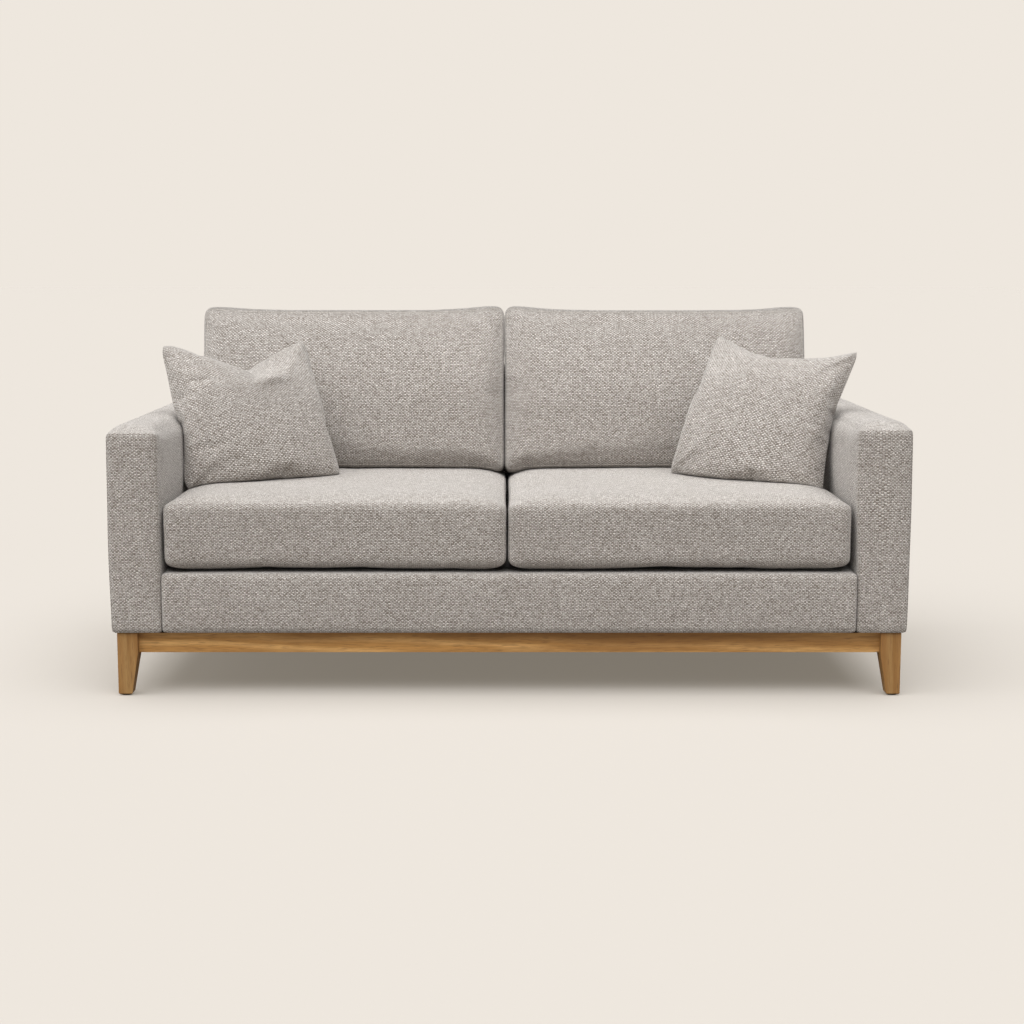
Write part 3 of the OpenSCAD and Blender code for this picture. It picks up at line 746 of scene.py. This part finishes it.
def pillow_mesh(name, shift):
    """Two square panels joined at their rim, slightly apart, and the flat places of the cloth."""
    step = CUT / CELLS
    flat, start, uvs, quads, number = [], [], [], [], {}
    for panel in (-1, 1):
        for i in range(CELLS + 1):
            for j in range(CELLS + 1):
                rim = i in (0, CELLS) or j in (0, CELLS)
                if rim and panel == 1:
                    number[panel, i, j] = number[-1, i, j]
                    continue
                number[panel, i, j] = len(flat)
                x, z = i * step - CUT / 2, j * step - CUT / 2
                rise = hump(x, CUT / 2) * hump(z, CUT / 2)
                flat.append(Vector((x, panel * CUT_RISE * rise, z)))
                start.append(Vector((x, panel * START_RISE * rise, z)))
        for i in range(CELLS):
            for j in range(CELLS):
                ring = [(i, j), (i + 1, j), (i + 1, j + 1), (i, j + 1)]
                ring = ring if panel == -1 else ring[::-1]
                quads.append([number[(panel, *p)] for p in ring])
                uvs += [(p[0] * step + shift, p[1] * step + shift * (panel + 3)) for p in ring]
    piece = mesh_piece(name, start, quads, UPHOLSTERY, uvs)
    rim = ([(i, 0) for i in range(CELLS)] + [(CELLS, j) for j in range(CELLS)]
           + [(CELLS - i, CELLS) for i in range(CELLS)] + [(0, CELLS - j) for j in range(CELLS)])
    rim = [number[(-1, *p)] for p in rim]
    on_rim = set(rim)
    crease = piece.data.attributes.new("crease_edge", "FLOAT", "EDGE")
    for edge, value in zip(piece.data.edges, crease.data):
        value.value = RIM_CREASE if set(edge.vertices) <= on_rim else 0.0
    return piece, flat


def chop(p, x, z, h, notch, notch_at):
    """Drops the top edge of a pillow of half side h in a notch, with a flat slope and a ridge to
    the right of it and a valley below it."""
    near = (h + x) / (h + notch_at) if x < notch_at else (h - x) / (h - notch_at)
    drop = max(0.0, near) ** (1.5 if x < notch_at else 1.1)
    p.z -= notch * drop * max(0.0, (z + 20 * MM) / (h + 20 * MM)) ** 1.4
    if p.y < 0:
        slope = -FACET * min(1.0, max(0.0, (h - z) / (0.5 * h)))
        if z > 0.5 * h and p.y < slope:
            p.y += (slope - p.y) * smooth((x - notch_at) / (35 * MM))
        ridge = bell(x, notch_at + 45 * MM, 45 * MM) * bell(z, 0.42 * h, 22 * MM)
        valley = bell(x, notch_at + 4 * MM, 16 * MM) * smooth((z - 0.35 * h) / (0.4 * h))
        p.y += VALLEY * valley - RIDGE * ridge


def dress(piece, side_length, height, dips, belly, taper, shear, notch=0, notch_at=0, creases=()):
    """Finishes a pillow's shape. dips says how far the middle of its left, right, bottom and top
    edge draws in between the ears, belly swells its front, and creases are levels of folds that
    run in from the left edge. taper widens its foot, shear leans its sides, height scales it
    upright, and notch is the depth of a chop in its top edge."""
    points = [v.co for v in piece.data.vertices]
    h = side_length / 2
    for axis in (0, 2):
        reach = max(abs(p[axis]) for p in points)
        for p in points:
            p[axis] *= h / reach
    for dip, (axis, sign) in zip(dips, ((0, -1), (0, 1), (2, -1), (2, 1))):
        other = 2 - axis
        middle = max(sign * p[axis] for p in points if abs(p[other]) < 8 * MM)
        for p in points:
            share = max(0.0, sign * p[axis] / middle) ** 2
            p[axis] += sign * (h - dip - middle) * share * hump(p[other], h)
    for p in points:
        x, z = p.x, p.z
        if notch:
            chop(p, x, z, h, notch, notch_at)
        if p.y < 0:
            p.y *= 1 + (belly - 1) * smooth(1.3 * (h - z) / h)
            for level in creases:
                along = smooth((-x / h - 0.35) / 0.4) * hump(x, 1.02 * h)
                p.y += FOLD * along * bell(z, level + 0.10 * (x + h), FOLD_WIDTH)
        p.x *= 1 - taper * z / h
        p.x -= shear * z
        past = (abs(x) + abs(z)) / h - EAR_START
        if past > 0:
            p.x -= math.copysign(EAR_BLUNT * past * h, x)
            p.z -= math.copysign(EAR_BLUNT * past * h, z)
        p.z *= height


def scatter_cushion(side, shift, offset, turn, **form):
    """A pillow leaning in a corner of the sofa, at an offset from its CAD solid's middle and
    turned by yaw, lean and roll."""
    body = f"scatter_cushion_{side}"
    piece, flat = pillow_mesh(body, shift)
    inflate(piece, 3.0, 0.09, frames=30, rest=flat, bending=0.3, tension=40, air=10.0)
    dress(piece, **form)
    lo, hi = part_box(f"{body}_cover")
    yaw, lean, roll = (angle * DEG for angle in turn)
    matrix = Matrix.Translation((lo + hi) / 2 + Vector(offset))
    for angle, axis in ((yaw, "Z"), (-lean, "X"), (roll, "Y")):
        matrix @= Matrix.Rotation(angle, 4, axis)
    place(piece, matrix)
    inward = (1, 0, 0) if side == "left" else (-1, 0, 0)
    push_out(piece, tree_of(arms[side]), inward, 1.5 * MM)
    push_out(piece, tree_of(backs[side]), (0, -1, 0), 1.5 * MM)
    push_out(piece, tree_of(seats[side]), (0, 0, 1), 1 * MM)
    subdivide(piece, 2)
    upholster(piece, body, 0.55, f"{body}_cover", f"{body}_fill")


scatter_cushion("left", 4.0, (-0.016, 0.006, -0.007), (27, 25, -1), side_length=0.422, height=0.975,
                dips=(0.014, 0.010, -0.004, 0.016), belly=1.35, taper=0.038, shear=0.038,
                notch=0.086, notch_at=0.010, creases=(0.075, -0.115))
scatter_cushion("right", 4.9, (0.005, -0.006, -0.007), (-31, 23, 5.3), side_length=0.434, height=0.950,
                dips=(0.010, 0.028, -0.010, 0.054), belly=1.5, taper=0.045, shear=-0.031)


# ---- Cloth under the seat and the cushions ----

CLOTH_CELL = 0.02           # side of a quad of the flat cloths


def flat_cloth(name, node, material, sag, shift):
    """A cloth stretched over its CAD node's outline, sagging a little in the middle."""
    lo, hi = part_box(node)
    size = hi - lo
    nx, ny = round(size.x / CLOTH_CELL), round(size.y / CLOTH_CELL)
    points, uvs, quads = [], [], []
    for i in range(nx + 1):
        for j in range(ny + 1):
            u, v = i / nx, j / ny
            across, along = math.sin(math.pi * u), math.sin(math.pi * v)
            dip = sag * across ** 0.5 * along ** 0.5
            wave = ripple((u * size.x, v * size.y, shift), 0.6 * MM, 9.0) * across * along
            level = (lo.z + hi.z) / 2 - dip + wave
            points.append(Vector((lo.x + u * size.x, lo.y + v * size.y, level)))
    for i in range(nx):
        for j in range(ny):
            ring = [(i, j), (i + 1, j), (i + 1, j + 1), (i, j + 1)]
            quads.append([a * (ny + 1) + b for a, b in ring])
            uvs += [(a * size.x / nx, b * size.y / ny) for a, b in ring]
    piece = mesh_piece(name, points, quads, material, uvs)
    thick = piece.modifiers.new("Thickness", "SOLIDIFY")
    thick.thickness = 1 * MM
    thick.offset = 0
    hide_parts(node)
    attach(piece, "frame")


flat_cloth("dust_cover_cloth", "dust_cover", DUST_CLOTH, 1.5 * MM, 5.0)
flat_cloth("deck_cloth", "deck_lining", LINING, -0.5 * MM, 6.0)


# ---- CAD pieces that stay as they are ----

def soften(names, width):
    """Rounds the edges of CAD pieces with a bevel modifier."""
    for name in names:
        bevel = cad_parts[name].modifiers.new("Bevel", "BEVEL")
        bevel.width = width
        bevel.segments = 3
        bevel.limit_method = "ANGLE"


LEGS = [f"leg_{end}_{side}" for end in ("front", "rear") for side in SIDES]
cad_material(oak("oak_upright", "Z", 0.71), *LEGS)
# the plinth rails take about twice the legs' tone: painted light that makes up for the shade under the
# frame's overhang
cad_material(oak("oak_across_painted_light", "X", 1.45), "plinth_front_rail", "plinth_rear_rail")
cad_material(oak("oak_deep_painted_light", "Y", 1.45), "plinth_left_rail", "plinth_right_rail")
soften(LEGS, 2.2 * MM)
soften([f"plinth_{word}_rail" for word in ("front", "rear", *SIDES)], 1.5 * MM)

PINE = (0.62, 0.44, 0.24), (0.46, 0.29, 0.13)
cad_material(timber("pine_across", *PINE, "X"), "seat_front_rail", "seat_rear_rail", "back_top_rail",
             "back_tuck_rail", "plinth_dowels", "corner_blocks")
cad_material(timber("pine_deep", *PINE, "Y"), "seat_end_rail_left", "seat_end_rail_right",
             "seat_centre_rail", "left_arm_rails", "right_arm_rails")
cad_material(timber("pine_upright", *PINE, "Z"), "left_arm_posts", "right_arm_posts", "back_posts")
cad_material(timber("hardboard", (0.22, 0.13, 0.07), (0.16, 0.09, 0.05), "X"), "back_board")
cad_material(speckled("zinc_plate", (0.62, 0.62, 0.63), (0.50, 0.50, 0.52), 400.0, 0.35, 0.05 * MM,
                      Metallic=1.0), "leg_bolts", "frame_bolts")
cad_material(speckled("spring_wire", (0.30, 0.30, 0.31), (0.20, 0.20, 0.21), 300.0, 0.4, 0.05 * MM,
                      Metallic=1.0), "seat_springs_left", "seat_springs_right", "spring_clips")
cad_material(speckled("black_plastic", (0.03, 0.03, 0.03), (0.02, 0.02, 0.02), 900.0, 0.55, 0.1 * MM),
             "leg_glides")
cad_material(speckled("felt", (0.66, 0.65, 0.63), (0.46, 0.45, 0.44), 500.0, 0.95, 0.6 * MM),
             "deck_felt")
cad_material(speckled("jute_webbing", (0.45, 0.36, 0.22), (0.33, 0.25, 0.15), 700.0, 0.9, 0.4 * MM),
             "back_webbing")
cad_material(zip_teeth("zip"),
             *[f"{kind}_cushion_{side}_zip" for kind in ("seat", "back") for side in SIDES])


# ---- Floor, light and camera ----

BACKDROP = (0.855, 0.799, 0.730)
SHADE = (0.206, 0.182, 0.149)   # what the paper gives off by itself, so shadows stay light
ALBEDO = 0.54                   # the rest is lit: a lower value asks for more light on the sofa
BOUNCE = (0.30, 0.28, 0.26)     # the paper's colour in the light it throws back at the sofa
FLOOR = 80                      # half the width of the paper
SKY = 0.12                      # even light from all round, as a share of all the light
KEY_FROM, KEY_ANGLE = Vector((-0.04, -0.25, 0.96)).normalized(), 88 * DEG
FILL_FROM, FILL_ANGLE = Vector((-0.95, -0.15, 0.28)).normalized(), 40 * DEG
FILL = 0.15                     # low light from the left, as a share of all the light


def stage():
    """Pale paper, a broad key light from above, a low fill and an even sky."""
    paper = Shading("pale_paper", roughness=1.0, Specular_IOR_Level=0.0, Emission_Strength=1.0)
    lit = [ALBEDO * (b - e) for b, e in zip(BACKDROP, SHADE)]
    paper.shader.inputs["Base Color"].default_value = (*lit, 1)
    paper.shader.inputs["Emission Color"].default_value = (*SHADE, 1)
    bounce = paper.add("ShaderNodeBsdfDiffuse")
    bounce.inputs["Color"].default_value = (*BOUNCE, 1)
    seen = paper.add("ShaderNodeMixShader")
    paper.link(paper.add("ShaderNodeLightPath").outputs["Is Camera Ray"], seen.inputs[0])
    paper.link(bounce.outputs[0], seen.inputs[1])
    paper.link(paper.shader.outputs[0], seen.inputs[2])
    paper.link(seen.outputs[0], paper.tree.nodes["Material Output"].inputs["Surface"])
    corners = [(-FLOOR, -FLOOR, 0), (FLOOR, -FLOOR, 0), (FLOOR, FLOOR, 0), (-FLOOR, FLOOR, 0)]
    floor = mesh_piece("floor", corners, [(0, 1, 2, 3)], paper.material)

    total = 1 / ALBEDO
    key = 1 - SKY - FILL * FILL_FROM.z
    for name, share, source, angle in (("key", key / KEY_FROM.z, KEY_FROM, KEY_ANGLE),
                                       ("fill", FILL, FILL_FROM, FILL_ANGLE)):
        sun = bpy.data.lights.new(name, "SUN")
        sun.energy = math.pi * total * share
        sun.angle = angle
        lamp = bpy.data.objects.new(name, sun)
        lamp.rotation_euler = source.to_track_quat("Z", "Y").to_euler()
        scene.collection.objects.link(lamp)

    world = bpy.data.worlds.new("studio")
    world.use_nodes = True
    nodes, links = world.node_tree.nodes, world.node_tree.links
    sky = nodes["Background"]
    sky.inputs["Color"].default_value = (1, 1, 1, 1)
    sky.inputs["Strength"].default_value = total * SKY
    backdrop = nodes.new("ShaderNodeBackground")
    backdrop.inputs["Color"].default_value = (*BACKDROP, 1)
    mix = nodes.new("ShaderNodeMixShader")
    links.new(nodes.new("ShaderNodeLightPath").outputs["Is Camera Ray"], mix.inputs[0])
    links.new(sky.outputs[0], mix.inputs[1])
    links.new(backdrop.outputs[0], mix.inputs[2])
    links.new(mix.outputs[0], nodes["World Output"].inputs["Surface"])
    scene.world = world
    scene.view_settings.view_transform = "Standard"


def camera():
    data = bpy.data.cameras.new("camera")
    data.lens = 63.0
    data.sensor_width = 36.0
    data.shift_x = 0.0068
    data.clip_end = 200
    eye = bpy.data.objects.new("camera", data)
    eye.location = (-0.0103, -4.805, 1.058)
    eye.rotation_euler = Euler((82.15 * DEG, 0, 0))
    scene.collection.objects.link(eye)
    scene.camera = eye


stage()
camera()
